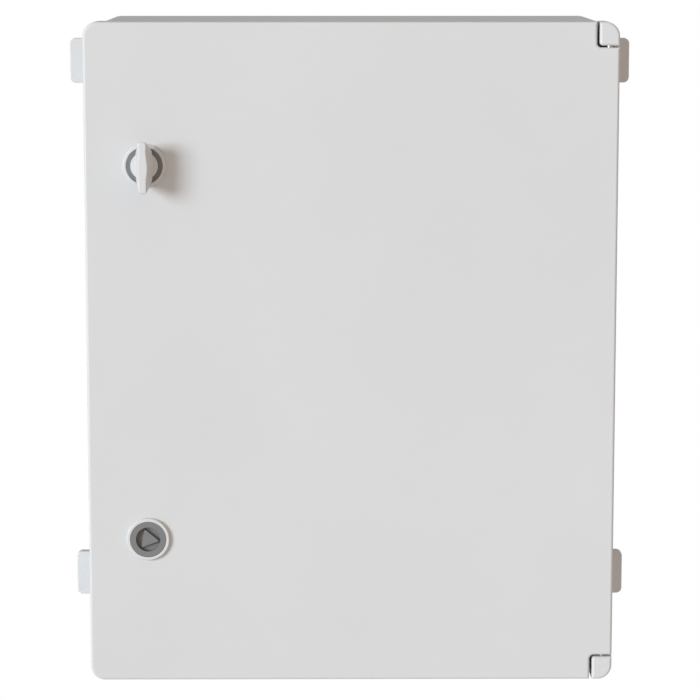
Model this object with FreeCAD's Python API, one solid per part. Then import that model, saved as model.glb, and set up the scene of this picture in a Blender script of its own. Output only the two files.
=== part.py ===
import FreeCAD, Part
import math
import os

os.makedirs("parts", exist_ok=True)

V = FreeCAD.Vector

# Wall cabinet, moulded light grey plastic, with one side-hinged door.
# Millimetres. +X is right, +Z is up and the door faces -Y. The origin is on the wall plane (Y = 0),
# midway between the four wall lugs.

# ---- door and body, overall ----
door_width = 398.0
door_height = 500.0
cabinet_depth = 210.0        # wall to the door's front face
door_depth = 24.0            # front face to the back edge of the door's skirt
door_wall = 3.0
door_corner_r = 11.0
door_edge_r = 2.0            # rounding round the front face
body_overhang = 1.7          # the door stands this far past the body on each side
body_wall = 3.2
body_back_wall = 3.5
body_corner_r = 12.0
body_back_edge_r = 3.0
door_gap = 1.0               # between the door's skirt and the body's front flange
fixed_clearance = 0.05       # between pieces that are fixed together, where one sits in the other
running_clearance = 0.08     # radial, between a shaft and its bore
blind_spare = 1.3            # depth of a blind hole past the end of its pin or screw

# ---- front flange, sealing lip and gasket ----
flange_t = 3.0
lip_t = 3.0
lip_free_inset = 13.5        # lip centre line from the door's free edges
lip_hinge_inset = 26.8       # the same on the hinge side, clear of the door's swing
lip_corner_r = 9.0
gasket_w = 7.0
gasket_h = 9.0
gasket_gap = 0.4             # gasket face to lip tip with the door shut
channel_wall = 1.5
channel_h = 7.0

# ---- hinge: two corner blocks, two pins ----
block_w = 15.1
block_h = 17.6
block_corner_r = 2.5         # the block's inner corner
notch_gap_x = 1.8            # between block and door, beside the block
notch_gap_z = 1.4            # between block and door, above and below
notch_corner_r = 3.5
hinge_inset = 7.2            # pin axis from the door's hinge edge
hinge_setback = 6.0          # pin axis from the front face
pin_r = 2.5
pin_in_block = 12.0
pin_in_door = 14.0
pin_boss_r = 4.2
pin_boss_end = 2.0           # boss past the end of the pin
pin_chamfer = 0.5
swing_gap = 1.0              # the door's turning hinge side to the body's lip
block_screw_r = 2.0
block_screw_in = 3.7         # screw axis from the block's inner side
block_screw_up = 5.6         # and from its inner end
block_screw_grip = 9.0
block_screw_head_r = 3.8
block_screw_head_h = 2.4
block_screw_recess = 1.3

# ---- wall lugs ----
lug_h = 36.0
lug_t = 8.0
lug_reach = 29.7             # past the body's side
lug_tongue = 25.0            # seated in the body's back
lug_corner_r = 4.5
lug_edge_r = 1.0
lug_hole_r = 4.25
lug_hole_to_tip = 14.5
lug_end_inset = 35.8         # lug centre from the body's top or bottom
lug_pad_floor = 5.0          # body material in front of the lug's tongue
lug_pad_margin = 5.0
lug_screw_r = 3.0
lug_screw_head_r = 5.6
lug_screw_head_h = 3.2
lug_screw_recess = 1.6
lug_screw_from_side = 15.0

# ---- locks ----
lock_inset = 45.0            # lock axis from the door's free edge
lock_spacing = 283.5
lock_rise = 2.0              # the pair of locks sits this far above the door's middle
collar_r = 16.1
collar_h = 3.0
collar_edge_r = 0.8
lock_face_edge_r = 0.3
barrel_r = 13.4
barrel_h = 23.0              # behind the door's front face
lock_face_r = 13.7
lock_face_t = 1.4
lock_face_sink = 0.2         # face disc below the collar's rim
lock_core_r = 11.0
lock_core_h = 8.0
lock_shaft_r = 7.0
cam_square = 8.0
seal_h = 0.6
seal_w = 2.2
nut_t = 5.0
nut_af = 32.0
nut_chamfer = 2.4            # off the corners of the nut's back face
cam_t = 3.0
cam_w = 16.0
cam_reach = 37.5
cam_tip_r = 7.5
cam_gap = 0.9                # between the shut cam and the back of the flange
cam_spacer = 1.0             # cam to the end of the round shaft
cam_screw_r = 2.5
cam_screw_l = 9.0
cam_washer_r = 6.5
cam_washer_t = 1.2
cam_head_r = 4.6
cam_head_h = 3.4
cam_head_af = 4.0
cam_head_recess = 2.2

# ---- triangular key socket of the lower lock ----
socket_r = 9.3
socket_depth = 3.8
key_sink = 1.0               # the driver's tip below the lock's face
key_side = 14.4
key_corner_r = 0.8
key_turn = -10.0             # degrees, as the lock stands when it is unlocked

# ---- wing knob of the upper lock ----
wing_h = 37.6                # along the front ridge
wing_end_t = 5.8             # ridge thickness near its ends
wing_mid_bulge = 2.0         # how much thicker the ridge is at its middle
wing_proud = 25.0            # past the door's front face
wing_root_h = 26.8           # the same sizes where the wing meets its boss
wing_root_t = 11.8
wing_root_bulge = 2.6
wing_bulge_l = 6.5           # half-length over which the bulge fades
wing_root_flare = 1.3        # how quickly the flanks spread towards the root
wing_levels = 5              # outlines from root to ridge
wing_side_points = 6         # from the middle of a side to its corner
wing_corner_r = 1.1
wing_root_corner_r = 3.5
wing_boss_r = 10.2
wing_boss_h = 2.4
wing_neck_r = 4.6
wing_stub_l = 2.5            # stub past the back of the core's face
wing_edge_r = 0.9

# ---- stiffening ribs inside the door ----
rib_t = 2.0
rib_h = 4.0
rib_overlap = 0.5            # ribs run this far into the gasket channel's wall

# ---- mounting plate ----
plate_margin_x = 26.0        # plate edge to the body's inner side
plate_margin_z = 24.0
plate_t = 2.0
plate_standoff = 18.5        # back wall to plate
plate_corner_r = 6.0
plate_hole_inset = 13.0
plate_boss_r = 8.0
insert_r = 4.0
insert_h = 10.0
plate_screw_r = 2.9
plate_hole_r = 3.3
plate_screw_head_r = 5.2
plate_screw_head_h = 3.6
plate_screw_recess = 2.0
plate_screw_short = 2.0      # screw end to the insert's end
plate_washer_r = 6.5
plate_washer_t = 1.4

# ---- DIN rails and modular devices ----
rail_h = 35.0
rail_depth = 7.5
rail_t = 1.0
rail_web_h = 25.0
rail_length = 262.0
rail_pitch = 125.0
rail_rise = 8.0              # middle rail above the plate's centre
rail_slot_pitch = 25.0
rail_slot_l = 15.0
rail_slot_w = 6.2
rail_slot_r = 3.0
rail_screw_span = 200.0
rail_screw_r = 2.4
rail_screw_past = 3.0        # screw end behind the plate
rail_screw_head_r = 4.4
rail_screw_head_h = 2.4
rail_screw_recess = 1.4
module_w = 18.0
device_gap = 0.2
device_h = 85.0
device_nose_h = 45.0
device_shoulder = 39.0       # rail face to the terminal shoulders
device_nose = 55.0           # rail face to the nose
device_hook = 4.0            # behind the rail's face
device_edge_r = 0.8
device_screw_hole_r = 2.8
device_screw_hole_d = 9.0
device_entry_w = 8.0         # wire entry in each end of the case
device_entry_h = 10.0
device_entry_d = 9.0
rail_clearance = 0.25
toggle_r = 7.0
toggle_sink = 8.0            # toggle axis behind the nose face
toggle_lever_l = 17.0        # from the axis
toggle_lever_t = 5.0
toggle_edge_r = 1.6
toggle_tilt = 25.0           # degrees above level when the device is on
toggle_axle_r = 1.5
toggle_axle_l = 2.0
toggle_axle_play = 0.3       # at each end of the axle
toggle_side_gap = 0.35
slot_gap = 0.8
button_r = 3.0
button_proud = 2.6
button_depth = 7.0
button_travel = 2.0
button_end_gap = 1.0         # left behind the button when it is pressed in
button_edge_r = 0.6
button_from_right = 0.75     # modules

breaker_count = 6
main_slot_w = 38.0           # toggle slots, side to side
leakage_slot_w = 24.0
breaker_slot_w = 8.0
comb_behind_shoulder = 12.5
comb_t = 2.0
comb_inset = 2.0             # bar ends inside the cover's ends
comb_low = 1.5               # bar's lower edge above the devices
comb_high = 11.0
comb_tooth_w = 5.0
comb_tooth_l = 8.0
cover_low = 2.4
cover_high = 13.0
cover_wall = 1.6
terminal_count = 12
terminal_w = 6.2
terminal_h = 46.0
terminal_depth = 38.0
terminal_foot = 12.0         # full-height part, in front of the rail
terminal_step_y = 8.0        # the upper faces' slope and step
terminal_step_z = 5.0
terminal_top_z = 9.0
terminal_screw_z = 8.0
terminal_screw_r = 2.0
terminal_screw_d = 9.0
terminal_entry_y = 18.0      # wire entry in front of the rail
terminal_entry_h = 6.0
terminal_entry_w = 3.8
terminal_entry_d = 8.0
end_stop_w = 8.0
end_stop_depth = 28.0
end_stop_chamfer = 6.0
end_stop_short = 2.0         # lower than a terminal, above and below
end_stop_screw_r = 2.2
end_stop_screw_d = 8.0

bar_length = 120.0
bar_w = 10.0
bar_t = 7.0
bar_hole_pitch = 10.0
bar_hole_r = 2.6
bar_screw_r = 2.0
bar_screw_l = 4.4
bar_screw_proud = 2.2
bar_slot_w = 0.8
bar_slot_d = 1.0
bar_drop = 62.0              # bars below the lowest rail
bar_offset = 72.0            # bar centres left and right of the middle
bar_holder_w = 12.0
bar_holder_h = 18.0
bar_holder_l = 14.0
bar_holder_edge_r = 1.5
bar_post_r = 2.5
bar_cap_r = 4.2
bar_cap_h = 2.5

entry_count = 3
entry_pitch = 70.0
entry_hole_r = 20.0
entry_from_wall = 75.0
entry_flange_r = 23.5
entry_flange_t = 2.2
entry_step_h = 9.0
entry_step_radii = (15.0, 11.0, 7.0)
entry_skin = 1.5             # wall of the stepped cup
entry_top_skin = 1.4
entry_bead_proud = 1.5
entry_bead_h = 1.8
entry_bore_r = 16.5

# ---- places worked out from the sizes above ----
y_front = -cabinet_depth
y_door_in = y_front + door_wall
y_skirt = y_front + door_depth
y_flange = y_skirt + door_gap
y_flange_back = y_flange + flange_t
door_x = door_width / 2
door_z = door_height / 2
body_x = door_x - body_overhang
body_z = door_z - body_overhang
hinge_x = door_x - hinge_inset
hinge_y = y_front + hinge_setback
lip_x0 = -door_x + lip_free_inset
lip_x1 = door_x - lip_hinge_inset
lip_z = door_z - lip_free_inset
swing_r = lip_hinge_inset - lip_t / 2 - hinge_inset - swing_gap
y_gasket = y_door_in + gasket_h
y_lip = y_gasket + gasket_gap
lock_x = -door_x + lock_inset
lock_z = {"upper": lock_rise + lock_spacing / 2, "lower": lock_rise - lock_spacing / 2}
y_collar = y_front - collar_h
y_lock_face = y_collar + lock_face_sink
y_cam = y_flange_back + cam_gap
lug_tip_x = body_x + lug_reach
lug_z = body_z - lug_end_inset
lug_hole_x = lug_tip_x - lug_hole_to_tip
plate_x = body_x - body_wall - plate_margin_x
plate_z = body_z - body_wall - plate_margin_z
y_plate_back = -body_back_wall - plate_standoff
y_plate = y_plate_back - plate_t
y_rail = y_plate - rail_depth
rail_z = [rail_rise + rail_pitch, rail_rise, rail_rise - rail_pitch]
y_nose = y_rail - device_nose


# ---- shape helpers ----
def block(x0, x1, y0, y1, z0, z1):
    low = V(min(x0, x1), min(y0, y1), min(z0, z1))
    return Part.makeBox(abs(x1 - x0), abs(y1 - y0), abs(z1 - z0), low)


def rod(start, direction, radius, length):
    return Part.makeCylinder(radius, length, start, direction)


def lines_along(shape, axis):
    found = []
    for edge in shape.Edges:
        if len(edge.Vertexes) != 2:
            continue
        span = edge.Vertexes[1].Point.sub(edge.Vertexes[0].Point)
        if abs(span.Length - edge.Length) < 1e-6 and span.cross(axis).Length < 1e-6:
            found.append(edge)
    return found


def edges_at_y(shape, y):
    return [e for e in shape.Edges if abs(e.BoundBox.YMin - y) < 1e-5 and abs(e.BoundBox.YMax - y) < 1e-5]


def panel(x0, x1, z0, z1, radius, y0, y1):
    """A slab between y0 and y1 whose four corners are rounded in the front view."""
    slab = block(x0, x1, y0, y1, z0, z1)
    return slab.makeFillet(radius, lines_along(slab, V(0, 1, 0)))


def prism_x(outline, x0, x1):
    """A closed outline of (y, z) points carried from x0 to x1."""
    points = [V(x0, y, z) for y, z in outline]
    face = Part.Face(Part.makePolygon(points + points[:1]))
    return face.extrude(V(x1 - x0, 0, 0))


def prism_y(outline, y0, y1):
    """A closed outline of (x, z) points carried from y0 to y1."""
    points = [V(x, y0, z) for x, z in outline]
    face = Part.Face(Part.makePolygon(points + points[:1]))
    return face.extrude(V(0, y1 - y0, 0))


def joined(shapes):
    whole = shapes[0]
    if len(shapes) > 1:
        whole = whole.fuse(shapes[1:])
    return whole.removeSplitter()


def group(shapes):
    """Separate solids that share one node, such as a set of screws."""
    return Part.makeCompound(shapes)


def mirrored_pair(shape, normal):
    return shape, shape.mirror(V(0, 0, 0), normal)


def hex_prism(centre, across_flats, y0, y1):
    corner = across_flats / math.sqrt(3)
    outline = []
    for step in range(6):
        angle = math.radians(60 * step)
        outline.append((centre.x + corner * math.cos(angle), centre.z + corner * math.sin(angle)))
    return prism_y(outline, y0, y1)


def cross_recess(start, direction, size, depth):
    """Cutter for a cross-slot in a screw head, entering at start along direction."""
    turn = FreeCAD.Rotation(V(0, 0, 1), direction)
    bars = []
    for length, width in ((size, size / 4), (size / 4, size)):
        bar = Part.makeBox(length, width, depth, V(-length / 2, -width / 2, 0))
        bars.append(bar)
    cutter = bars[0].fuse(bars[1])
    cutter.Placement = FreeCAD.Placement(start, turn)
    return cutter


# ---- body ----
def lip_loop(outer, y0, y1):
    """The outline of the sealing lip, moved outwards from its centre line by outer."""
    radius = lip_corner_r + outer
    return panel(lip_x0 - outer, lip_x1 + outer, -lip_z - outer, lip_z + outer, radius, y0, y1)


def plate_fixings():
    x = plate_x - plate_hole_inset
    z = plate_z - plate_hole_inset
    return [(sx * x, sz * z) for sx in (-1, 1) for sz in (-1, 1)]


def block_screw_places():
    x = door_x - block_w + block_screw_in
    z = door_z - block_h + block_screw_up
    return [(x, z), (x, -z)]


def entry_places():
    middle = (entry_count - 1) / 2
    return [(i - middle) * entry_pitch for i in range(entry_count)]


def lug_pocket_box(grow, depth):
    """Seat of the right upper lug's tongue, grown by a clearance."""
    x0 = body_x - lug_tongue - grow
    z0 = lug_z - lug_h / 2 - grow
    z1 = lug_z + lug_h / 2 + grow
    return block(x0, body_x + lug_reach, 0, -depth, z0, z1)


def four_ways(shape):
    """A shape in the right upper corner, and its three mirror images."""
    right = list(mirrored_pair(shape, V(0, 0, 1)))
    left = [s.mirror(V(0, 0, 0), V(1, 0, 0)) for s in right]
    return right + left


def body_shell():
    outer = panel(-body_x, body_x, -body_z, body_z, body_corner_r, 0, y_flange)
    outer = outer.makeFillet(body_back_edge_r, edges_at_y(outer, 0))
    inner_x = body_x - body_wall
    inner_z = body_z - body_wall
    inner_r = body_corner_r - body_wall
    cavity = panel(-inner_x, inner_x, -inner_z, inner_z, inner_r, -body_back_wall, y_flange_back)
    shell = outer.fuse(lip_loop(lip_t / 2, y_flange_back, y_lip)).cut(cavity)
    shell = shell.cut(lip_loop(-lip_t / 2, y_flange_back + 1, y_lip - 1))

    pad_y = -(lug_t + lug_pad_floor)
    pad_x0 = body_x - lug_tongue - lug_pad_margin
    pad_z0 = lug_z - lug_h / 2 - lug_pad_margin
    pad_z1 = lug_z + lug_h / 2 + lug_pad_margin
    pad = block(pad_x0, body_x - body_wall / 2, -body_back_wall / 2, pad_y, pad_z0, pad_z1)
    boss_l = body_back_wall / 2 + plate_standoff
    bosses = [rod(V(x, -body_back_wall / 2, z), V(0, -1, 0), plate_boss_r, boss_l)
              for x, z in plate_fixings()]
    shell = shell.fuse(four_ways(pad) + bosses)

    cuts = four_ways(lug_pocket_box(fixed_clearance, lug_t + fixed_clearance))
    screw_hole = rod(V(body_x - lug_screw_from_side, 0, lug_z), V(0, -1, 0), lug_screw_r + fixed_clearance,
                     lug_t + lug_pad_floor + 1)
    cuts += four_ways(screw_hole)
    for x, z in plate_fixings():
        seat = V(x, y_plate_back, z)
        cuts.append(rod(seat, V(0, 1, 0), insert_r + fixed_clearance, insert_h + fixed_clearance))
    for x, z in block_screw_places():
        start = V(x, y_flange_back + 1, z)
        cuts.append(rod(start, V(0, -1, 0), block_screw_r + fixed_clearance, flange_t + 2))
    for x in entry_places():
        cuts.append(rod(V(x, -entry_from_wall, -body_z - 1), V(0, 0, 1), entry_hole_r, body_wall + 2))
    return shell.cut(cuts).removeSplitter()


def lug(side_x, side_z):
    """One wall lug. side_x and side_z are 1 or -1."""
    x0 = body_x - lug_tongue
    plate = panel(x0, lug_tip_x, lug_z - lug_h / 2, lug_z + lug_h / 2, lug_corner_r, 0, -lug_t)
    plate = plate.makeFillet(lug_edge_r, edges_at_y(plate, -lug_t))
    hole = rod(V(lug_hole_x, 1, lug_z), V(0, -1, 0), lug_hole_r, lug_t + 2)
    seat_x = body_x - lug_screw_from_side
    shank = rod(V(seat_x, 1, lug_z), V(0, -1, 0), lug_screw_r + fixed_clearance, lug_t + 2)
    sink = Part.makeCone(lug_screw_head_r + fixed_clearance, lug_screw_r + fixed_clearance,
                         lug_screw_head_h, V(seat_x, 0, lug_z), V(0, -1, 0))
    piece = plate.cut([hole, shank, sink])
    if side_x < 0:
        piece = piece.mirror(V(0, 0, 0), V(1, 0, 0))
    if side_z < 0:
        piece = piece.mirror(V(0, 0, 0), V(0, 0, 1))
    return piece


def lug_screws():
    x = body_x - lug_screw_from_side
    head = Part.makeCone(lug_screw_head_r, lug_screw_r, lug_screw_head_h, V(x, 0, lug_z), V(0, -1, 0))
    shank = rod(V(x, 0, lug_z), V(0, -1, 0), lug_screw_r, lug_t + lug_pad_floor)
    screw = head.fuse(shank)
    screw = screw.cut(cross_recess(V(x, 0, lug_z), V(0, -1, 0), lug_screw_head_r, lug_screw_recess))
    return group(four_ways(screw.removeSplitter()))


# ---- hinge ----
def hinge_block_upper():
    x0 = door_x - block_w
    z0 = door_z - block_h
    outline = panel(-door_x, door_x, -door_z, door_z, door_corner_r, y_front, y_flange)
    corner = block(x0, door_x, y_front, y_flange, z0, door_z)
    inner = [e for e in lines_along(corner, V(0, 1, 0))
             if abs(e.BoundBox.XMin - x0) < 1e-6 and abs(e.BoundBox.ZMin - z0) < 1e-6]
    piece = outline.common(corner.makeFillet(block_corner_r, inner))
    piece = piece.makeFillet(door_edge_r, edges_at_y(piece, y_front))
    start = V(hinge_x, hinge_y, z0 - 1)
    pin_hole = rod(start, V(0, 0, 1), pin_r + fixed_clearance, 1 + pin_in_block + blind_spare)
    x, z = block_screw_places()[0]
    start = V(x, y_flange + 1, z)
    hole_l = 1 + block_screw_grip + blind_spare
    screw_hole = rod(start, V(0, -1, 0), block_screw_r + fixed_clearance, hole_l)
    return piece.cut([pin_hole, screw_hole])


def hinge_pin_upper():
    z0 = door_z - block_h - notch_gap_z - pin_in_door
    length = pin_in_door + notch_gap_z + pin_in_block
    pin = rod(V(hinge_x, hinge_y, z0), V(0, 0, 1), pin_r, length)
    ends = [e for e in pin.Edges if e.BoundBox.ZLength < 1e-6]
    return pin.makeChamfer(pin_chamfer, ends)


def block_screws():
    screws = []
    for x, z in block_screw_places():
        shank = rod(V(x, y_flange_back, z), V(0, -1, 0), block_screw_r, flange_t + block_screw_grip)
        head = rod(V(x, y_flange_back, z), V(0, 1, 0), block_screw_head_r, block_screw_head_h)
        top = V(x, y_flange_back + block_screw_head_h, z)
        head = head.cut(cross_recess(top, V(0, -1, 0), block_screw_head_r, block_screw_recess))
        screws.append(shank.fuse(head).removeSplitter())
    return group(screws)


# ---- door ----
def notch(grow, radius, y0, y1):
    """Cutter for the space round the upper hinge block, seen from the front."""
    x0 = door_x - block_w - notch_gap_x - grow
    z0 = door_z - block_h - notch_gap_z - grow
    return panel(x0, door_x + 2 * block_w, z0, door_z + 2 * block_h, radius, y0, y1)


def door_shell():
    outer = panel(-door_x, door_x, -door_z, door_z, door_corner_r, y_front, y_skirt)
    outer = outer.cut(list(mirrored_pair(notch(0, notch_corner_r, y_front - 1, y_skirt + 1), V(0, 0, 1))))
    outer = outer.makeFillet(door_edge_r, edges_at_y(outer, y_front))
    inner_r = door_corner_r - door_wall
    cavity = panel(-door_x + door_wall, door_x - door_wall, -door_z + door_wall, door_z - door_wall,
                   inner_r, y_door_in, y_skirt + 1)
    walls = mirrored_pair(notch(door_wall, notch_corner_r + door_wall, y_front, y_skirt + 2), V(0, 0, 1))
    cavity = cavity.cut(list(walls))
    shell = outer.cut(cavity)

    reach = gasket_w / 2 + channel_wall
    y_channel = y_door_in + channel_h
    outer_rib = lip_loop(reach, y_front + 1, y_channel).cut(lip_loop(gasket_w / 2, y_front, y_channel + 1))
    inner_rib = lip_loop(-gasket_w / 2, y_front + 1, y_channel)
    inner_rib = inner_rib.cut(lip_loop(-reach, y_front, y_channel + 1))
    adds = [outer_rib, inner_rib]
    boss_z1 = door_z - block_h - notch_gap_z - door_wall / 2
    boss_z0 = door_z - block_h - notch_gap_z - pin_in_door - pin_boss_end
    boss = rod(V(hinge_x, hinge_y, boss_z0), V(0, 0, 1), pin_boss_r, boss_z1 - boss_z0)
    root = block(hinge_x - pin_boss_r, hinge_x + pin_boss_r, y_front + 1, hinge_y, boss_z0, boss_z1)
    boss = boss.fuse(root)
    adds += mirrored_pair(boss, V(0, 0, 1))
    shell = shell.fuse(adds + door_ribs())

    relief = block(lip_x1, door_x + 1, hinge_y, y_skirt + 1, -door_z + door_wall, door_z - door_wall)
    relief = relief.cut(rod(V(hinge_x, hinge_y, -door_z), V(0, 0, 1), swing_r, door_height))
    pin_hole = rod(V(hinge_x, hinge_y, boss_z0 + 1), V(0, 0, 1), pin_r + running_clearance, door_z)
    cuts = [relief] + list(mirrored_pair(pin_hole, V(0, 0, 1)))
    for z in lock_z.values():
        cuts.append(rod(V(lock_x, y_front - 1, z), V(0, 1, 0), barrel_r + fixed_clearance, door_depth))
    return shell.cut(cuts).removeSplitter()


def door_ribs():
    """Low stiffening ribs on the door's inner face, inside the gasket loop."""
    clear = gasket_w / 2 + channel_wall - rib_overlap
    x0 = lip_x0 + clear
    x1 = lip_x1 - clear
    y1 = y_door_in + rib_h
    ribs = []
    for z in (-lock_spacing / 4 + lock_rise, lock_spacing / 4 + lock_rise):
        ribs.append(block(x0, x1, y_front + 1, y1, z - rib_t / 2, z + rib_t / 2))
    for x in ((x0 + 2 * x1) / 3, (2 * x0 + x1) / 3 + lock_inset / 2):
        ribs.append(block(x - rib_t / 2, x + rib_t / 2, y_front + 1, y1, -lip_z + clear, lip_z - clear))
    return ribs


def door_gasket():
    half = gasket_w / 2 - fixed_clearance
    ring = lip_loop(half, y_door_in, y_gasket)
    return ring.cut(lip_loop(-half, y_door_in - 1, y_gasket + 1))


# ---- locks ----
def lock_housing(z):
    centre = V(lock_x, y_collar, z)
    back = V(0, 1, 0)
    collar = rod(centre, back, collar_r, collar_h)
    rim = [e for e in edges_at_y(collar, y_collar)]
    collar = collar.makeFillet(collar_edge_r, rim)
    body = collar.fuse(rod(centre, back, barrel_r, collar_h + barrel_h))
    face_bore = rod(V(lock_x, y_collar - 1, z), back, lock_face_r + running_clearance,
                    1 + lock_face_sink + lock_face_t + running_clearance)
    core_bore = rod(centre, back, lock_core_r + running_clearance,
                    lock_face_sink + lock_face_t + lock_core_h + running_clearance)
    shaft_bore = rod(centre, back, lock_shaft_r + running_clearance, collar_h + barrel_h + 1)
    body = body.cut([face_bore, core_bore, shaft_bore])
    groove = rod(V(lock_x, y_front - seal_h, z), back, barrel_r + seal_w + fixed_clearance, seal_h)
    groove = groove.cut(rod(V(lock_x, y_front - seal_h - 1, z), back, barrel_r, seal_h + 2))
    return body.cut(groove).removeSplitter()


def lock_seal(z):
    ring = rod(V(lock_x, y_front - seal_h, z), V(0, 1, 0), barrel_r + seal_w, seal_h)
    start = V(lock_x, y_front - seal_h - 1, z)
    return ring.cut(rod(start, V(0, 1, 0), barrel_r + fixed_clearance, seal_h + 2))


def lock_nut(z):
    nut = hex_prism(V(lock_x, 0, z), nut_af, y_door_in, y_door_in + nut_t)
    bore = rod(V(lock_x, y_front, z), V(0, 1, 0), barrel_r + fixed_clearance, door_depth)
    corner_r = nut_af / math.sqrt(3)
    limit = Part.makeCone(corner_r, corner_r - nut_chamfer, nut_t, V(lock_x, y_door_in, z), V(0, 1, 0))
    return nut.common(limit).cut(bore)


def lock_core(z):
    """Face disc, core, shaft and cam square, turned as one piece."""
    back = V(0, 1, 0)
    face = rod(V(lock_x, y_lock_face, z), back, lock_face_r, lock_face_t)
    face = face.makeFillet(lock_face_edge_r, edges_at_y(face, y_lock_face))
    core_end = lock_face_t + lock_core_h
    core = rod(V(lock_x, y_lock_face, z), back, lock_core_r, core_end)
    shaft = rod(V(lock_x, y_lock_face, z), back, lock_shaft_r, y_cam - y_lock_face - cam_spacer)
    half = cam_square / 2
    square = block(lock_x - half, lock_x + half, y_lock_face + core_end, y_cam + cam_t, z - half, z + half)
    hole = rod(V(lock_x, y_cam + cam_t, z), V(0, -1, 0), cam_screw_r + fixed_clearance, cam_screw_l + 1)
    return joined([face, core, shaft, square]).cut(hole)


def triangle_key(z):
    """The three-cornered driver that stands in the socket."""
    corner = key_side / math.sqrt(3)
    outline = []
    for step in range(3):
        angle = math.radians(120 * step + key_turn)
        outline.append((lock_x + corner * math.cos(angle), z + corner * math.sin(angle)))
    key = prism_y(outline, y_lock_face + key_sink, y_lock_face + socket_depth)
    return key.makeFillet(key_corner_r, lines_along(key, V(0, 1, 0)))


def lower_lock_core():
    z = lock_z["lower"]
    socket = rod(V(lock_x, y_lock_face - 1, z), V(0, 1, 0), socket_r, socket_depth + 1)
    rim = socket.cut(triangle_key(z))
    return lock_core(z).cut(rim)


def upper_lock_core():
    """The wing knob's stub seats in a blind hole in the face of this core."""
    z = lock_z["upper"]
    seat = rod(V(lock_x, y_lock_face - 1, z), V(0, 1, 0), wing_neck_r + fixed_clearance,
               1 + lock_face_t + wing_stub_l + blind_spare)
    return lock_core(z).cut(seat)


def wing_outline(y, rise, inset=0.0):
    """Closed outline of the wing, at a rise of 0 at its root to 1 at its ridge."""
    fall = (1 - rise) ** wing_root_flare
    half_h = (wing_root_h + (wing_h - wing_root_h) * math.sin(rise * math.pi / 2)) / 2 - inset
    half_t = (wing_end_t + (wing_root_t - wing_end_t) * fall) / 2 - inset
    bulge = (wing_mid_bulge + (wing_root_bulge - wing_mid_bulge) * fall) / 2
    corner = wing_corner_r + (wing_root_corner_r - wing_corner_r) * fall
    straight = half_h - corner
    quarter = []
    for step in range(wing_side_points):
        along = straight * step / (wing_side_points - 1)
        width = half_t + bulge * math.exp(-(along / wing_bulge_l) ** 2)
        quarter.append((width, along))
    for turn in (30, 60, 90):
        across = width - corner + corner * math.cos(math.radians(turn))
        quarter.append((across, straight + corner * math.sin(math.radians(turn))))
    half = quarter + [(-across, along) for across, along in reversed(quarter)]
    whole = half + [(-across, -along) for across, along in half[1:-1]]
    points = [V(lock_x + across, y, lock_z["upper"] + along) for across, along in whole]
    curve = Part.BSplineCurve()
    curve.interpolate(Points=points, PeriodicFlag=True)
    return Part.Wire([curve.toShape()])


def wing_knob():
    """Flared wing on a round boss, with a stub that seats in the core's blind hole."""
    z = lock_z["upper"]
    y_tip = y_front - wing_proud
    y_root = y_lock_face - wing_boss_h
    y_shoulder = y_tip + wing_edge_r
    flanks = []
    for level in range(wing_levels):
        rise = level / (wing_levels - 1)
        flanks.append(wing_outline(y_root + (y_shoulder - y_root) * rise, rise))
    wing = Part.makeLoft(flanks, True, False)
    rounding = []
    for turn in (0, 30, 60, 90):
        sine = math.sin(math.radians(turn))
        inset = wing_edge_r * (1 - math.cos(math.radians(turn)))
        rounding.append(wing_outline(y_shoulder - wing_edge_r * sine, 1, inset))
    ridge = Part.makeLoft(rounding, True, False)
    boss = rod(V(lock_x, y_root, z), V(0, 1, 0), wing_boss_r, wing_boss_h)
    stub = rod(V(lock_x, y_lock_face - 1, z), V(0, 1, 0), wing_neck_r, 1 + lock_face_t + wing_stub_l)
    return joined([wing, ridge, boss, stub])


def lock_cam(z):
    """Flat tongue that points down when the lock is open and reaches behind the flange when it is shut."""
    half = cam_w / 2
    hub = rod(V(lock_x, y_cam, z), V(0, 1, 0), half, cam_t)
    tongue = block(lock_x - half, lock_x + half, y_cam, y_cam + cam_t, z - cam_reach, z)
    tip = [e for e in lines_along(tongue, V(0, 1, 0)) if e.BoundBox.ZMax < z - half]
    tongue = tongue.makeFillet(cam_tip_r, tip)
    side = cam_square / 2 + fixed_clearance
    seat = block(lock_x - side, lock_x + side, y_cam - 1, y_cam + cam_t + 1, z - side, z + side)
    return joined([hub, tongue]).cut(seat)


def cam_screw(z):
    y0 = y_cam + cam_t
    forward = V(0, -1, 0)
    shank = rod(V(lock_x, y0, z), forward, cam_screw_r, cam_screw_l)
    washer = rod(V(lock_x, y0, z), V(0, 1, 0), cam_washer_r, cam_washer_t)
    head = rod(V(lock_x, y0 + cam_washer_t, z), V(0, 1, 0), cam_head_r, cam_head_h)
    top = y0 + cam_washer_t + cam_head_h
    head = head.cut(hex_prism(V(lock_x, 0, z), cam_head_af, top - cam_head_recess, top + 1))
    return joined([shank, washer, head])


# ---- mounting plate ----
def mounting_plate():
    plate = panel(-plate_x, plate_x, -plate_z, plate_z, plate_corner_r, y_plate_back, y_plate)
    holes = []
    for x, z in plate_fixings():
        holes.append(rod(V(x, y_plate_back + 1, z), V(0, -1, 0), plate_hole_r, plate_t + 2))
    return plate.cut(holes + rail_screw_holes())


def plate_inserts():
    pieces = []
    for x, z in plate_fixings():
        sleeve = rod(V(x, y_plate_back, z), V(0, 1, 0), insert_r, insert_h)
        start = V(x, y_plate_back - 1, z)
        pieces.append(sleeve.cut(rod(start, V(0, 1, 0), plate_screw_r + fixed_clearance, insert_h)))
    return group(pieces)


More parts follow.
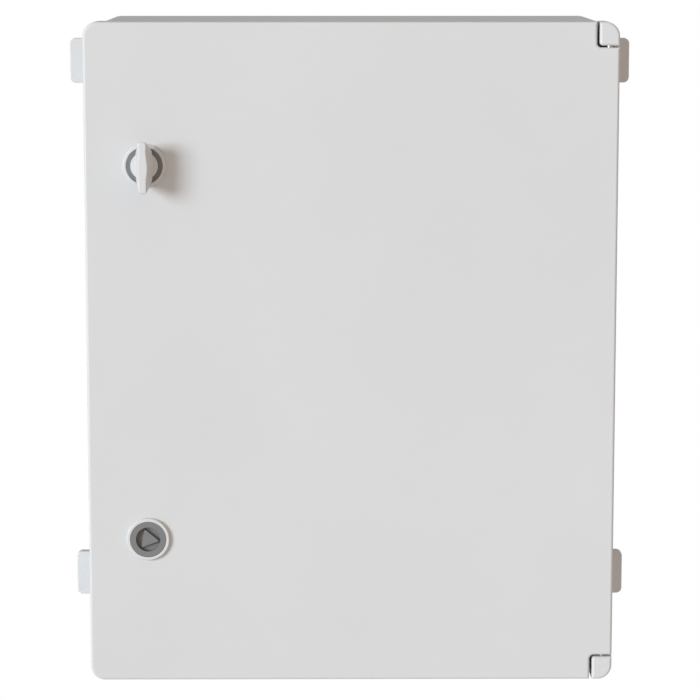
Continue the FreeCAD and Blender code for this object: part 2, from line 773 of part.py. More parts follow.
def plate_screws():
    pieces = []
    for x, z in plate_fixings():
        washer = rod(V(x, y_plate, z), V(0, -1, 0), plate_washer_r, plate_washer_t)
        head = rod(V(x, y_plate - plate_washer_t, z), V(0, -1, 0), plate_screw_head_r, plate_screw_head_h)
        top = V(x, y_plate - plate_washer_t - plate_screw_head_h, z)
        head = head.cut(cross_recess(top, V(0, 1, 0), plate_screw_head_r, plate_screw_recess))
        shank = rod(V(x, y_plate, z), V(0, 1, 0), plate_screw_r, plate_t + insert_h - plate_screw_short)
        pieces.append(joined([washer, head, shank]))
    return group(pieces)


# ---- rails ----
def rail_screw_places():
    return [(side * rail_screw_span / 2, z) for z in rail_z for side in (-1, 1)]


def rail_screw_holes():
    start = y_plate_back + rail_screw_past
    length = plate_t + rail_screw_past + rail_t + 1
    radius = rail_screw_r + fixed_clearance
    return [rod(V(x, start, z), V(0, -1, 0), radius, length) for x, z in rail_screw_places()]


def din_rail(z):
    web = rail_web_h / 2
    half = rail_h / 2
    t = rail_t
    outline = [(y_plate, z - web), (y_plate, z + web), (y_rail + t, z + web), (y_rail + t, z + half),
               (y_rail, z + half), (y_rail, z + web - t), (y_plate - t, z + web - t),
               (y_plate - t, z - web + t), (y_rail, z - web + t), (y_rail, z - half),
               (y_rail + t, z - half), (y_rail + t, z - web)]
    rail = prism_x(outline, -rail_length / 2, rail_length / 2)
    slots = []
    count = int(rail_length / rail_slot_pitch)
    for i in range(count):
        x = (i - (count - 1) / 2) * rail_slot_pitch
        half_l = rail_slot_l / 2
        slots.append(panel(x - half_l, x + half_l, z - rail_slot_w / 2, z + rail_slot_w / 2,
                           rail_slot_r, y_plate + 1, y_plate - t - 1))
    return rail.cut(slots + rail_screw_holes())


def rail_screws():
    pieces = []
    for x, z in rail_screw_places():
        base = V(x, y_plate - rail_t, z)
        head = rod(base, V(0, -1, 0), rail_screw_head_r, rail_screw_head_h)
        top = V(x, base.y - rail_screw_head_h, z)
        head = head.cut(cross_recess(top, V(0, 1, 0), rail_screw_head_r, rail_screw_recess))
        shank = rod(base, V(0, 1, 0), rail_screw_r, rail_t + plate_t + rail_screw_past)
        pieces.append(joined([head, shank]))
    return group(pieces)


# ---- modular devices ----
def device_body(x0, modules, z, slot_w):
    """Moulded case of a rail-mounted device, with its toggle slot, terminals and rail seat."""
    x1 = x0 + modules * module_w - device_gap
    half = device_h / 2
    nose = device_nose_h / 2
    y_hook = y_rail + device_hook
    y_shoulder = y_rail - device_shoulder
    seat = rail_h / 2 + rail_clearance
    outline = [(y_hook, z - half), (y_shoulder, z - half), (y_shoulder, z - nose), (y_nose, z - nose),
               (y_nose, z + nose), (y_shoulder, z + nose), (y_shoulder, z + half), (y_hook, z + half),
               (y_hook, z + seat), (y_rail, z + seat), (y_rail, z - seat), (y_hook, z - seat)]
    case = prism_x(outline, x0, x1)
    case = case.makeFillet(device_edge_r, edges_at_y(case, y_nose))
    middle = (x0 + x1) / 2
    slot_z = toggle_r + slot_gap
    y_axis = y_nose + toggle_sink
    cuts = [block(middle - slot_w / 2, middle + slot_w / 2, y_nose - 1, y_axis + toggle_r + slot_gap,
                  z - slot_z, z + slot_z)]
    axle = slot_w / 2 - toggle_side_gap + toggle_axle_l + toggle_axle_play
    cuts.append(rod(V(middle - axle, y_axis, z), V(1, 0, 0), toggle_axle_r + running_clearance, 2 * axle))
    for i in range(modules):
        x = x0 + (i + 0.5) * module_w - device_gap / 2
        for side in (-1, 1):
            z_screw = z + side * (half + nose) / 2
            start = V(x, y_shoulder - 1, z_screw)
            cuts.append(rod(start, V(0, 1, 0), device_screw_hole_r, device_screw_hole_d))
            z_end = z + side * half
            y_entry = y_shoulder + device_screw_hole_d
            half_w = device_entry_w / 2
            cuts.append(block(x - half_w, x + half_w, y_entry, y_entry + device_entry_h,
                              z_end - side * device_entry_d, z_end + side))
    return case.cut(cuts).removeSplitter()


def device_toggle(x0, modules, z, slot_w):
    """Rocking toggle, drawn at the 'on' tilt, on two stub axles."""
    middle = x0 + (modules * module_w - device_gap) / 2
    half_w = slot_w / 2 - toggle_side_gap
    y_axis = y_nose + toggle_sink
    drum = rod(V(middle - half_w, y_axis, z), V(1, 0, 0), toggle_r, 2 * half_w)
    lever = block(middle - half_w, middle + half_w, y_axis - toggle_lever_l, y_axis,
                  z - toggle_lever_t / 2, z + toggle_lever_t / 2)
    tip = [e for e in lines_along(lever, V(1, 0, 0)) if e.BoundBox.YMax < y_axis - 1]
    lever = lever.makeFillet(toggle_edge_r, tip)
    lever.rotate(V(middle, y_axis, z), V(1, 0, 0), -toggle_tilt)
    axle_l = half_w + toggle_axle_l
    axle = rod(V(middle - axle_l, y_axis, z), V(1, 0, 0), toggle_axle_r, 2 * axle_l)
    return joined([drum, lever, axle])


def button_place():
    modules = device_plan["earth_leakage_switch"][1]
    x0 = device_plan["earth_leakage_switch"][0]
    return V(x0 + (modules - button_from_right) * module_w, y_nose, rail_z[0] - device_nose_h / 4)


def test_button():
    centre = button_place()
    length = button_proud + button_depth - button_travel - button_end_gap
    button = rod(V(centre.x, y_nose - button_proud, centre.z), V(0, 1, 0), button_r, length)
    return button.makeFillet(button_edge_r, edges_at_y(button, y_nose - button_proud))


def device_with_button(x0, modules, z, slot_w):
    centre = button_place()
    start = V(centre.x, y_nose - 1, centre.z)
    bore = rod(start, V(0, 1, 0), button_r + running_clearance, button_depth + 1)
    return device_body(x0, modules, z, slot_w).cut(bore)


def comb_busbar(x0, z):
    """Copper comb that feeds the upper terminals of the row of breakers."""
    y0 = y_rail - device_shoulder + comb_behind_shoulder
    z_top = z + device_h / 2
    x1 = x0 + breaker_count * module_w - device_gap
    bar = block(x0 + comb_inset, x1 - comb_inset, y0, y0 + comb_t, z_top + comb_low, z_top + comb_high)
    teeth = []
    half = comb_tooth_w / 2
    for i in range(breaker_count):
        x = x0 + (i + 0.5) * module_w - device_gap / 2
        teeth.append(block(x - half, x + half, y0, y0 + comb_t, z_top - comb_tooth_l, z_top + comb_low + 1))
    return joined([bar] + teeth)


def comb_cover(x0, z):
    y0 = y_rail - device_shoulder + comb_behind_shoulder
    z_top = z + device_h / 2
    x1 = x0 + breaker_count * module_w - device_gap
    cover = block(x0, x1, y0 - cover_wall, y0 + comb_t + cover_wall, z_top + cover_low, z_top + cover_high)
    slot = block(x0 + comb_inset - fixed_clearance, x1 - comb_inset + fixed_clearance, y0 - fixed_clearance,
                 y0 + comb_t + fixed_clearance, z_top, z_top + comb_high + fixed_clearance)
    return cover.cut(slot)


# ---- terminals ----
def terminal_row():
    z = rail_z[2]
    half = terminal_h / 2
    y_hook = y_rail + device_hook
    y_top = y_rail - terminal_depth
    seat = rail_h / 2 + rail_clearance
    y_foot = y_rail - terminal_foot
    y_step = y_top + terminal_step_y
    step = half - terminal_step_z
    top = half - terminal_top_z
    outline = [(y_hook, z - half), (y_foot, z - half), (y_step, z - step), (y_top, z - top),
               (y_top, z + top), (y_step, z + step), (y_foot, z + half), (y_hook, z + half),
               (y_hook, z + seat), (y_rail, z + seat), (y_rail, z - seat), (y_hook, z - seat)]
    entry = terminal_entry_w / 2
    y_entry = y_rail - terminal_entry_y
    pieces = []
    start = -terminal_count * terminal_w / 2
    for i in range(terminal_count):
        x0 = start + i * terminal_w
        x1 = x0 + terminal_w - device_gap
        piece = prism_x(outline, x0, x1)
        x = (x0 + x1) / 2
        cuts = []
        for side in (-1, 1):
            screw_z = z + side * terminal_screw_z
            cuts.append(rod(V(x, y_top - 1, screw_z), V(0, 1, 0), terminal_screw_r, terminal_screw_d))
            cuts.append(block(x - entry, x + entry, y_entry - terminal_entry_h, y_entry,
                              z + side * (half + 1), z + side * (half - terminal_entry_d)))
        pieces.append(piece.cut(cuts))
    return group(pieces)


def end_stops():
    z = rail_z[2]
    half = terminal_h / 2 - end_stop_short
    seat = rail_h / 2 + rail_clearance
    y_hook = y_rail + device_hook
    y_top = y_rail - end_stop_depth
    y_side = y_top + end_stop_chamfer
    top = half - end_stop_chamfer
    outline = [(y_hook, z - half), (y_side, z - half), (y_top, z - top), (y_top, z + top),
               (y_side, z + half), (y_hook, z + half), (y_hook, z + seat), (y_rail, z + seat),
               (y_rail, z - seat), (y_hook, z - seat)]
    edge = terminal_count * terminal_w / 2
    pieces = []
    for x0 in (-edge - end_stop_w - device_gap, edge):
        piece = prism_x(outline, x0, x0 + end_stop_w)
        screw = rod(V(x0 + end_stop_w / 2, y_top - 1, z), V(0, 1, 0), end_stop_screw_r, end_stop_screw_d)
        pieces.append(piece.cut(screw))
    return group(pieces)


# ---- neutral and earth bars ----
def bar_frame(side):
    """Centre of a bar: side is -1 for neutral and 1 for earth."""
    return V(side * bar_offset, y_plate - bar_holder_h, rail_z[2] - bar_drop)


def bar_screw_places(side):
    centre = bar_frame(side)
    count = int((bar_length - 2 * bar_holder_l) / bar_hole_pitch)
    return [centre.x + (i - (count - 1) / 2) * bar_hole_pitch for i in range(count)]


def terminal_bar(side):
    centre = bar_frame(side)
    half = bar_length / 2
    bar = block(centre.x - half, centre.x + half, centre.y, centre.y - bar_t,
                centre.z - bar_w / 2, centre.z + bar_w / 2)
    cuts = []
    for x in bar_screw_places(side):
        cuts.append(rod(V(x, centre.y - bar_t / 2, centre.z - bar_w), V(0, 0, 1), bar_hole_r, 2 * bar_w))
        start = V(x, centre.y - bar_t - 1, centre.z)
        cuts.append(rod(start, V(0, 1, 0), bar_screw_r + fixed_clearance, bar_t / 2 + 1))
    for end in (-1, 1):
        x = centre.x + end * (half - bar_holder_l / 2)
        cuts.append(rod(V(x, centre.y + 1, centre.z), V(0, -1, 0), bar_post_r + fixed_clearance, bar_t + 2))
    return bar.cut(cuts)


def bar_holders(side):
    centre = bar_frame(side)
    pieces = []
    for end in (-1, 1):
        x = centre.x + end * (bar_length / 2 - bar_holder_l / 2)
        foot = block(x - bar_holder_l / 2, x + bar_holder_l / 2, y_plate, centre.y,
                     centre.z - bar_holder_w / 2, centre.z + bar_holder_w / 2)
        foot = foot.makeFillet(bar_holder_edge_r, lines_along(foot, V(0, 1, 0)))
        post = rod(V(x, centre.y, centre.z), V(0, -1, 0), bar_post_r, bar_t)
        cap = rod(V(x, centre.y - bar_t, centre.z), V(0, -1, 0), bar_cap_r, bar_cap_h)
        pieces.append(joined([foot, post, cap]))
    return group(pieces)


def bar_screws():
    pieces = []
    for side in (-1, 1):
        centre = bar_frame(side)
        for x in bar_screw_places(side):
            y_top = centre.y - bar_t - bar_screw_proud
            screw = rod(V(x, y_top, centre.z), V(0, 1, 0), bar_screw_r, bar_screw_l)
            half = bar_slot_w / 2
            slot = block(x - half, x + half, y_top - 1, y_top + bar_slot_d,
                         centre.z - 2 * bar_screw_r, centre.z + 2 * bar_screw_r)
            pieces.append(screw.cut(slot))
    return group(pieces)


# ---- cable entries ----
def cable_grommets():
    """Stepped blind grommets in the bottom wall, cut open when a cable is fitted."""
    pieces = []
    down = V(0, 0, -1)
    z_in = -body_z + body_wall
    for x in entry_places():
        start = V(x, -entry_from_wall, -body_z)
        inside = V(x, -entry_from_wall, z_in)
        flange = rod(start, down, entry_flange_r, entry_flange_t)
        neck = rod(start, V(0, 0, 1), entry_hole_r - fixed_clearance, body_wall)
        bead = rod(inside, V(0, 0, 1), entry_hole_r + entry_bead_proud, entry_bead_h)
        solid = [flange, neck, bead]
        above = entry_bead_h + 1
        hollow = [rod(inside + V(0, 0, above), down, entry_bore_r, above + body_wall)]
        for step, radius in enumerate(entry_step_radii):
            depth = entry_flange_t + entry_step_h * (step + 1) / len(entry_step_radii)
            solid.append(rod(start, down, radius, depth))
            hollow.append(rod(start, down, radius - entry_skin, depth - entry_top_skin))
        pieces.append(joined(solid).cut(hollow))
    return group(pieces)


# ---- device plan: first x, modules, rail height and toggle slot width ----
switch_modules = 3
leakage_modules = 4
row_w = (switch_modules + leakage_modules) * module_w
leakage_x0 = -row_w / 2 + switch_modules * module_w
breaker_x0 = -breaker_count * module_w / 2
device_plan = {
    "main_switch": (-row_w / 2, switch_modules, rail_z[0], main_slot_w),
    "earth_leakage_switch": (leakage_x0, leakage_modules, rail_z[0], leakage_slot_w),
}
for number in range(1, breaker_count + 1):
    x_start = breaker_x0 + (number - 1) * module_w
    device_plan["breaker_%d" % number] = (x_start, 1, rail_z[1], breaker_slot_w)

# ---- nodes ----
nodes = {
    "body_shell": body_shell(),
    "wall_lug_upper_left": lug(-1, 1),
    "wall_lug_upper_right": lug(1, 1),
    "wall_lug_lower_left": lug(-1, -1),
    "wall_lug_lower_right": lug(1, -1),
    "lug_screws": lug_screws(),
    "block_screws": block_screws(),
    "door_shell": door_shell(),
    "door_gasket": door_gasket(),
    "wing_knob": wing_knob(),
    "upper_lock_core": upper_lock_core(),
    "lower_lock_core": lower_lock_core(),
    "mounting_plate": mounting_plate(),
    "plate_inserts": plate_inserts(),
    "plate_screws": plate_screws(),
    "rail_screws": rail_screws(),
    "test_button": test_button(),
    "comb_busbar": comb_busbar(breaker_x0, rail_z[1]),
    "comb_cover": comb_cover(breaker_x0, rail_z[1]),
    "terminal_row": terminal_row(),
    "end_stops": end_stops(),
    "neutral_bar": terminal_bar(-1),
    "earth_bar": terminal_bar(1),
    "neutral_bar_holders": bar_holders(-1),
    "earth_bar_holders": bar_holders(1),
    "bar_screws": bar_screws(),
    "cable_grommets": cable_grommets(),
}
for part_name, upper in (("hinge_block", hinge_block_upper()), ("hinge_pin", hinge_pin_upper())):
    nodes[part_name + "_upper"] = upper
    nodes[part_name + "_lower"] = upper.mirror(V(0, 0, 0), V(0, 0, 1))
for place, height in lock_z.items():
    nodes[place + "_lock_housing"] = lock_housing(height)
    nodes[place + "_lock_seal"] = lock_seal(height)
    nodes[place + "_lock_nut"] = lock_nut(height)
    nodes[place + "_lock_cam"] = lock_cam(height)
    nodes[place + "_cam_screw"] = cam_screw(height)
for place, height in zip(("upper", "middle", "lower"), rail_z):
    nodes["din_rail_" + place] = din_rail(height)
for device, plan in device_plan.items():
    with_button = device == "earth_leakage_switch"
    nodes[device] = device_with_button(*plan) if with_button else device_body(*plan)
    nodes[device + "_toggle"] = device_toggle(*plan)

for node, shape in nodes.items():
    solids = shape.Solids
    print("%-32s solids %2d valid %s volume %10.1f" % (node, len(solids), shape.isValid(), shape.Volume))
    shape.exportStep("parts/%s.step" % node)
print(len(nodes), "nodes")
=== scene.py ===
import math

import bpy
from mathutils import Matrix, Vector


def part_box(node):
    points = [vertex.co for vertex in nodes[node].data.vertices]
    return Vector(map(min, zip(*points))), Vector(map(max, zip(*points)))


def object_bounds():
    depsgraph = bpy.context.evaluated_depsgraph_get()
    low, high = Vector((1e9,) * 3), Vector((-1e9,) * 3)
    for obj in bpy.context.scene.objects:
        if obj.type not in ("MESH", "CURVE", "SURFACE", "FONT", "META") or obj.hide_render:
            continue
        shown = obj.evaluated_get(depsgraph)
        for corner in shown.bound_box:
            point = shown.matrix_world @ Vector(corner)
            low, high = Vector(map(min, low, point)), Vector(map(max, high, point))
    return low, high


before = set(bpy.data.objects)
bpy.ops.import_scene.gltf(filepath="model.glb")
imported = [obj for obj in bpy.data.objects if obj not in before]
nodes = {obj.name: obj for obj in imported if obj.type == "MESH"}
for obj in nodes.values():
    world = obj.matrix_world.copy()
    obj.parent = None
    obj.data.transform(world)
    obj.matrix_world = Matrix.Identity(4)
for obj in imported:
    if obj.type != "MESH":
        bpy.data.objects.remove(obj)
cad_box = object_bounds()

# ---------------------------------------------------------------------------------------------
# Moulded body.
# One deep tray of light grey plastic, injection moulded in a fine spark-eroded tool, so that the
# skin is satin with a barely visible grain. The two hinge corner blocks are cut from the same
# material and screwed to the tray's front flange.
ENCLOSURE_GREY = (0.655, 0.655, 0.655)
ENCLOSURE_ROUGHNESS = 0.46
BLACK = (0.0, 0.0, 0.0, 1.0)
NOISE_RANGE = (0.3, 0.7)      # nearly all of a noise texture's values lie between these two
FLOW_PER_METRE = 5.0          # broad shading, as the melt flowed
PATCHES_PER_METRE = 22.0      # slightly polished patches
PATCH_SWING = 0.035           # how far a patch moves the roughness
PLASTIC_SPECULAR = 0.4


def feed(tree, socket, value):
    """Links this value to the socket if it is a socket itself, or else sets it there."""
    if isinstance(value, bpy.types.NodeSocket):
        tree.links.new(value, socket)
    else:
        socket.default_value = value


def mix_colour(tree, factor, first, second):
    mix = tree.nodes.new("ShaderNodeMix")
    mix.data_type = "RGBA"
    feed(tree, mix.inputs[0], factor)
    feed(tree, mix.inputs[6], first)
    feed(tree, mix.inputs[7], second)
    return mix.outputs[2]


def spread(tree, value, between, low=0.0, high=1.0):
    """Maps the range called between to low..high."""
    span = tree.nodes.new("ShaderNodeMapRange")
    tree.links.new(value, span.inputs["Value"])
    span.inputs["From Min"].default_value = between[0]
    span.inputs["From Max"].default_value = between[1]
    span.inputs["To Min"].default_value = low
    span.inputs["To Max"].default_value = high
    return span.outputs["Result"]


def math_node(tree, operation, first, second):
    step = tree.nodes.new("ShaderNodeMath")
    step.operation = operation
    feed(tree, step.inputs[0], first)
    feed(tree, step.inputs[1], second)
    return step.outputs[0]


def noise(tree, where, scale, detail=2.0, roughness=0.5):
    texture = tree.nodes.new("ShaderNodeTexNoise")
    tree.links.new(where, texture.inputs["Vector"])
    feed(tree, texture.inputs["Scale"], scale)
    texture.inputs["Detail"].default_value = detail
    texture.inputs["Roughness"].default_value = roughness
    return texture.outputs["Fac"]


def skin_group(name, inputs):
    """A node group with these inputs, which gives a varying colour, roughness and height."""
    tree = bpy.data.node_groups.new(name, "ShaderNodeTree")
    for title, value in inputs:
        kind = "NodeSocketColor" if isinstance(value, tuple) else "NodeSocketFloat"
        socket = tree.interface.new_socket(name=title, in_out="INPUT", socket_type=kind)
        socket.default_value = value
    for title, kind in (("Colour", "NodeSocketColor"), ("Roughness", "NodeSocketFloat"),
                        ("Height", "NodeSocketFloat")):
        tree.interface.new_socket(name=title, in_out="OUTPUT", socket_type=kind)
    inlet = tree.nodes.new("NodeGroupInput").outputs
    outlet = tree.nodes.new("NodeGroupOutput").inputs
    where = tree.nodes.new("ShaderNodeTexCoord").outputs["Object"]
    return tree, inlet, outlet, where


def moulded_skin_group():
    """Skin of a moulded plastic part: fine grain, faint flow shading, slightly polished patches."""
    inputs = (("Colour", (0.6, 0.6, 0.6, 1.0)), ("Shade", 0.03), ("Roughness", 0.45),
              ("Grain per metre", 1400.0))
    tree, inlet, outlet, where = skin_group("moulded_skin", inputs)
    flow = spread(tree, noise(tree, where, FLOW_PER_METRE, 3.0, 0.55), NOISE_RANGE)
    shade = math_node(tree, "MULTIPLY", flow, inlet["Shade"])
    tree.links.new(mix_colour(tree, shade, inlet["Colour"], BLACK), outlet["Colour"])
    patches = noise(tree, where, PATCHES_PER_METRE, 4.0, 0.6)
    swing = spread(tree, patches, NOISE_RANGE, -PATCH_SWING, PATCH_SWING)
    tree.links.new(math_node(tree, "ADD", inlet["Roughness"], swing), outlet["Roughness"])
    grain = noise(tree, where, inlet["Grain per metre"], 3.0, 0.6)
    tree.links.new(grain, outlet["Height"])
    return tree


moulded_skin = moulded_skin_group()


def shader_material(name):
    material = bpy.data.materials.new(name)
    material.use_nodes = True
    tree = material.node_tree
    return material, tree, tree.nodes["Principled BSDF"]


def skinned(name, group, settings, bump_strength, bump_distance):
    """A material whose colour, roughness and bump come from a skin group."""
    material, tree, shader = shader_material(name)
    skin = tree.nodes.new("ShaderNodeGroup")
    skin.node_tree = group
    for title, value in settings.items():
        skin.inputs[title].default_value = value
    tree.links.new(skin.outputs["Colour"], shader.inputs["Base Color"])
    tree.links.new(skin.outputs["Roughness"], shader.inputs["Roughness"])
    bump = tree.nodes.new("ShaderNodeBump")
    bump.inputs["Strength"].default_value = bump_strength
    bump.inputs["Distance"].default_value = bump_distance
    tree.links.new(skin.outputs["Height"], bump.inputs["Height"])
    tree.links.new(bump.outputs["Normal"], shader.inputs["Normal"])
    return material, shader


def moulded_plastic(name, colour, roughness, shade=0.03, grain=1400.0, grain_depth=0.00004,
                    strength=0.35):
    """shade is how dark the flow shading gets, and grain is how many grains a metre holds."""
    settings = {"Colour": (*colour, 1.0), "Shade": shade, "Roughness": roughness,
                "Grain per metre": grain}
    material, shader = skinned(name, moulded_skin, settings, strength, grain_depth)
    shader.inputs["Specular IOR Level"].default_value = PLASTIC_SPECULAR
    return material


def finish_with(material, *names):
    """Gives CAD nodes this material on every face."""
    for name in names:
        mesh = nodes[name].data
        mesh.materials.clear()
        mesh.materials.append(material)
        for face in mesh.polygons:
            face.material_index = 0


enclosure_plastic = moulded_plastic("enclosure_light_grey", ENCLOSURE_GREY, ENCLOSURE_ROUGHNESS)
finish_with(enclosure_plastic, "body_shell", "hinge_block_upper", "hinge_block_lower")

# ---------------------------------------------------------------------------------------------
# Wall lugs, and the screws and pins.
# Four short glass-filled plastic tongues, screwed into seats at the corners of the back, each
# with one round hole for the wall screw. They come from their own tool, a shade warmer. Every
# screw and hinge pin is steel with a thin zinc coat.
LUG_GREY = (0.655, 0.655, 0.65)
LUG_ROUGHNESS = 0.52
CLOUD_RANGE = (0.35, 0.65)
CLOUD_SWING = 0.08            # how far the cloudiness moves the roughness
SCRATCHES_PER_METRE = 2600.0
SCRATCH_STRETCH = (1.0, 1.0, 0.06)
SCRATCH_DEPTH = 0.00003
SCRATCH_STRENGTH = 0.15

lug_plastic = moulded_plastic("lug_light_grey", LUG_GREY, LUG_ROUGHNESS, shade=0.05, grain=1100.0)
for level in ("upper", "lower"):
    for side in ("left", "right"):
        finish_with(lug_plastic, "wall_lug_%s_%s" % (level, side))


def plated_metal_group():
    """Thin plated coat on turned or rolled metal: cloudy tone, fine lengthwise scratches."""
    inputs = (("Colour", (0.6, 0.6, 0.6, 1.0)), ("Second colour", (0.5, 0.5, 0.5, 1.0)),
              ("Cloud per metre", 60.0), ("Roughness", 0.35))
    tree, inlet, outlet, where = skin_group("plated_metal", inputs)
    cloud = noise(tree, where, inlet["Cloud per metre"], 4.0)
    blotch = spread(tree, cloud, CLOUD_RANGE)
    tree.links.new(mix_colour(tree, blotch, inlet["Colour"], inlet["Second colour"]), outlet["Colour"])
    swing = spread(tree, cloud, NOISE_RANGE, -CLOUD_SWING, CLOUD_SWING)
    tree.links.new(math_node(tree, "ADD", inlet["Roughness"], swing), outlet["Roughness"])
    stretch = tree.nodes.new("ShaderNodeMapping")
    stretch.inputs["Scale"].default_value = SCRATCH_STRETCH
    tree.links.new(where, stretch.inputs["Vector"])
    tree.links.new(noise(tree, stretch.outputs["Vector"], SCRATCHES_PER_METRE), outlet["Height"])
    return tree


plated_metal = plated_metal_group()


def plated(name, colour, second, roughness, cloud):
    """cloud is how many clouds of the second colour a metre holds."""
    settings = {"Colour": (*colour, 1.0), "Second colour": (*second, 1.0),
                "Cloud per metre": cloud, "Roughness": roughness}
    material, shader = skinned(name, plated_metal, settings, SCRATCH_STRENGTH, SCRATCH_DEPTH)
    shader.inputs["Metallic"].default_value = 1.0
    return material


zinc_screw = plated("zinc_plated_screw", (0.62, 0.62, 0.60), (0.52, 0.53, 0.54), 0.32, 300.0)
finish_with(zinc_screw, "lug_screws", "block_screws", "plate_screws", "rail_screws", "bar_screws",
            "upper_cam_screw", "lower_cam_screw", "hinge_pin_upper", "hinge_pin_lower")

# ---------------------------------------------------------------------------------------------
# Mounting plate and rails.
# The plate is 2 mm galvanised sheet, cut, punched and hung on brass inserts in the body's four
# bosses. The rails are rolled from 1 mm galvanised strip and screwed through the plate. The
# neutral and earth bars are drawn brass, drilled and tapped.
galvanised = plated("galvanised_sheet", (0.60, 0.62, 0.63), (0.47, 0.49, 0.51), 0.36, 45.0)
passivated = plated("passivated_strip", (0.66, 0.66, 0.64), (0.58, 0.58, 0.56), 0.30, 25.0)
brass_metal = plated("plain_brass", (0.78, 0.60, 0.30), (0.66, 0.48, 0.22), 0.30, 80.0)
finish_with(galvanised, "mounting_plate")
finish_with(passivated, "din_rail_upper", "din_rail_middle", "din_rail_lower")
finish_with(brass_metal, "plate_inserts", "neutral_bar", "earth_bar")

# ---------------------------------------------------------------------------------------------
# Switchgear on the rails.
# Snap-on moulded cases with rocking toggles: a main switch, an earth leakage switch with its
# test button, and six breakers fed by a copper comb under a grey cover.
BREAKERS = ["breaker_%d" % number for number in range(1, 7)]
GLOSSY = {"shade": 0.1, "grain": 900.0, "strength": 0.1}      # polished moulds

case_plastic = moulded_plastic("device_case", (0.72, 0.72, 0.70), 0.42, grain=1800.0)
toggle_plastic = moulded_plastic("toggle_dark", (0.025, 0.035, 0.06), 0.28, **GLOSSY)
red_plastic = moulded_plastic("toggle_red", (0.50, 0.025, 0.015), 0.28, **GLOSSY)
yellow_plastic = moulded_plastic("button_yellow", (0.80, 0.52, 0.03), 0.30, **GLOSSY)
comb_plastic = moulded_plastic("comb_cover_grey", (0.25, 0.26, 0.27), 0.45, shade=0.08)
copper = plated("plain_copper", (0.80, 0.40, 0.25), (0.62, 0.30, 0.20), 0.30, 120.0)
finish_with(case_plastic, "main_switch", "earth_leakage_switch", *BREAKERS)
finish_with(toggle_plastic, "earth_leakage_switch_toggle", *[name + "_toggle" for name in BREAKERS])
finish_with(red_plastic, "main_switch_toggle")
finish_with(yellow_plastic, "test_button")
finish_with(comb_plastic, "comb_cover")
finish_with(copper, "comb_busbar")

# ---------------------------------------------------------------------------------------------
# Terminals, bar holders and blind cable entries.
# Polyamide feed-through terminals on the lowest rail, coloured feet that carry the brass bars
# clear of the plate, and stepped rubber grommets pushed into the bottom wall.
polyamide = moulded_plastic("terminal_polyamide", (0.36, 0.36, 0.35), 0.5, shade=0.08, grain=1500.0)
blue_plastic = moulded_plastic("holder_blue", (0.03, 0.12, 0.40), 0.45, shade=0.1)
green_plastic = moulded_plastic("holder_green", (0.04, 0.28, 0.08), 0.45, shade=0.1)
grommet_rubber = moulded_plastic("grommet_rubber", (0.20, 0.20, 0.205), 0.62, shade=0.2,
                                 grain=700.0, strength=0.5)
finish_with(polyamide, "terminal_row", "end_stops")
finish_with(blue_plastic, "neutral_bar_holders")
finish_with(green_plastic, "earth_bar_holders")
finish_with(grommet_rubber, "cable_grommets")

# ---------------------------------------------------------------------------------------------
# Door.
# One shallow tray of the same plastic as the body, with a black foam gasket in a channel round
# its inner face and a foam ring under each lock's collar.
finish_with(enclosure_plastic, "door_shell")
foam = moulded_plastic("gasket_foam", (0.028, 0.028, 0.03), 0.85, shade=0.4, grain=500.0,
                       grain_depth=0.0003, strength=0.8)
finish_with(foam, "door_gasket", "upper_lock_seal", "lower_lock_seal")

# ---------------------------------------------------------------------------------------------
# Locks.
# Two quarter-turn locks: light grey collars clamped by dark nuts, mid grey cores, steel cams.
# The upper one carries a light grey wing knob and the lower one takes a triangular key.
collar_plastic = moulded_plastic("lock_collar_light_grey", (0.66, 0.66, 0.655), 0.44, shade=0.02,
                                 grain=1600.0)
core_plastic = moulded_plastic("lock_core_grey", (0.205, 0.205, 0.205), 0.55, shade=0.12,
                               grain=1300.0, strength=0.6)
nut_plastic = moulded_plastic("lock_nut_grey", (0.08, 0.08, 0.082), 0.5, shade=0.1)
finish_with(collar_plastic, "wing_knob", "upper_lock_housing", "lower_lock_housing")
finish_with(core_plastic, "upper_lock_core", "lower_lock_core")
finish_with(nut_plastic, "upper_lock_nut", "lower_lock_nut")
finish_with(galvanised, "upper_lock_cam", "lower_lock_cam")

# ---------------------------------------------------------------------------------------------
# Studio.
# A white floor far below the hung cabinet, an even fill, one soft light from the left at knob
# height and a weak warm one from the right. The camera stands in front, a little above the top.
WHITE = (1.0, 1.0, 1.0, 1.0)
FLOOR_DROP = 2.6              # metres below the cabinet
FLOOR_REACH = 80.0            # metres from the middle to each side
FLOOR_PAINT = (0.85, 0.85, 0.85, 1.0)
FLOOR_ROUGHNESS = 0.95
scene = bpy.context.scene
scene.view_settings.view_transform = "Standard"

floor_z = cad_box[0].z - FLOOR_DROP
floor_mesh = bpy.data.meshes.new("studio_floor")
floor_corners = [(-FLOOR_REACH, -FLOOR_REACH, floor_z), (FLOOR_REACH, -FLOOR_REACH, floor_z),
                 (FLOOR_REACH, FLOOR_REACH, floor_z), (-FLOOR_REACH, FLOOR_REACH, floor_z)]
floor_mesh.from_pydata(floor_corners, [], [(0, 1, 2, 3)])
studio_floor = bpy.data.objects.new("studio_floor", floor_mesh)
scene.collection.objects.link(studio_floor)


def camera_sees(tree, plain, seen, output):
    """Joins two shaders so that the camera sees the second one and light meets the first."""
    path = tree.nodes.new("ShaderNodeLightPath")
    choose = tree.nodes.new("ShaderNodeMixShader")
    tree.links.new(path.outputs["Is Camera Ray"], choose.inputs["Fac"])
    tree.links.new(plain, choose.inputs[1])
    tree.links.new(seen, choose.inputs[2])
    tree.links.new(choose.outputs["Shader"], tree.nodes[output].inputs["Surface"])


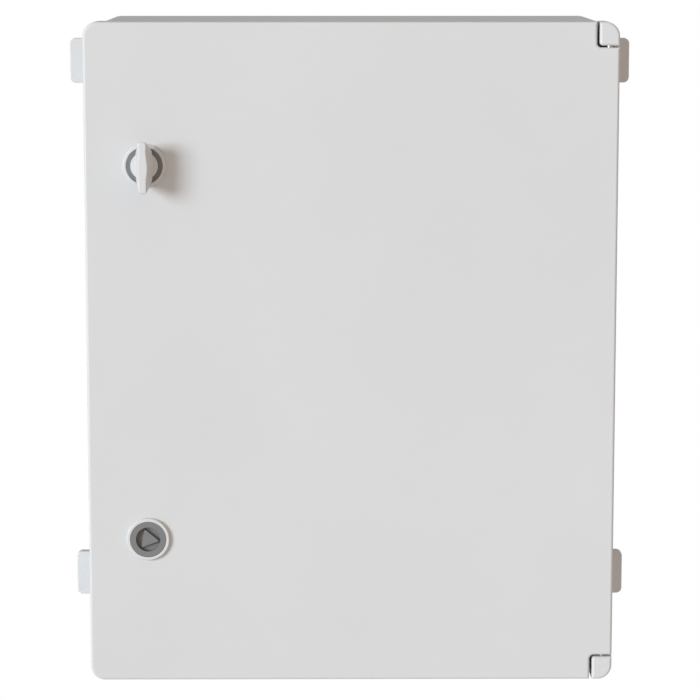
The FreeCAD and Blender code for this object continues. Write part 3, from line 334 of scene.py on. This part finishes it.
floor_paint, floor_tree, floor_shader = shader_material("studio_floor_white")
floor_shader.inputs["Base Color"].default_value = FLOOR_PAINT
floor_shader.inputs["Roughness"].default_value = FLOOR_ROUGHNESS
floor_glow = floor_tree.nodes.new("ShaderNodeEmission")
camera_sees(floor_tree, floor_shader.outputs["BSDF"], floor_glow.outputs["Emission"],
            "Material Output")
floor_mesh.materials.append(floor_paint)

FILL_COLOUR = (1.0, 0.99, 0.985, 1.0)
FILL_STRENGTH = 0.41
world = bpy.data.worlds.new("studio_fill")
world.use_nodes = True
scene.world = world
sky_tree = world.node_tree
fill = sky_tree.nodes["Background"]
fill.inputs["Color"].default_value = FILL_COLOUR
fill.inputs["Strength"].default_value = FILL_STRENGTH
backdrop = sky_tree.nodes.new("ShaderNodeBackground")
backdrop.inputs["Color"].default_value = WHITE
camera_sees(sky_tree, fill.outputs["Background"], backdrop.outputs["Background"], "World Output")


def far_light(name, azimuth, elevation, strength, softness, colour):
    """A far soft light. Degrees; azimuth is from straight in front, positive to the left."""
    data = bpy.data.lights.new(name, "SUN")
    data.energy = strength
    data.angle = math.radians(softness)
    data.color = colour
    lamp = bpy.data.objects.new(name, data)
    scene.collection.objects.link(lamp)
    around, up = math.radians(azimuth), math.radians(elevation)
    towards = Vector((-math.sin(around) * math.cos(up), -math.cos(around) * math.cos(up), math.sin(up)))
    lamp.rotation_mode = "QUATERNION"
    lamp.rotation_quaternion = towards.to_track_quat("Z", "Y")


far_light("key_light", azimuth=48.0, elevation=9.0, strength=2.83, softness=24.0,
          colour=(0.91, 1.0, 1.075))
far_light("warm_fill", azimuth=-35.0, elevation=5.0, strength=0.62, softness=110.0,
          colour=(1.0, 0.50, 0.12))

CAMERA_DISTANCE = 2.09        # metres from the door's front face
CAMERA_HEIGHT = 0.3156        # above the door's middle
CAMERA_SIDE = -0.0144         # to the left of the door's middle
CAMERA_PITCH = 8.456          # degrees down
CAMERA_TURN = -0.366          # degrees to the right
LENS = 144.6                  # mm, on a 36 mm sensor
SENSOR = 36.0
FAR_CLIP = 400.0
door_low, door_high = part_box("door_shell")
door_middle_z = (door_low.z + door_high.z) / 2
camera_data = bpy.data.cameras.new("studio_camera")
camera_data.lens = LENS
camera_data.sensor_width = SENSOR
camera_data.clip_end = FAR_CLIP
camera = bpy.data.objects.new("studio_camera", camera_data)
scene.collection.objects.link(camera)
camera.location = (CAMERA_SIDE, door_low.y - CAMERA_DISTANCE, door_middle_z + CAMERA_HEIGHT)
camera.rotation_euler = (math.radians(90.0 - CAMERA_PITCH), 0.0, math.radians(CAMERA_TURN))
scene.camera = camera
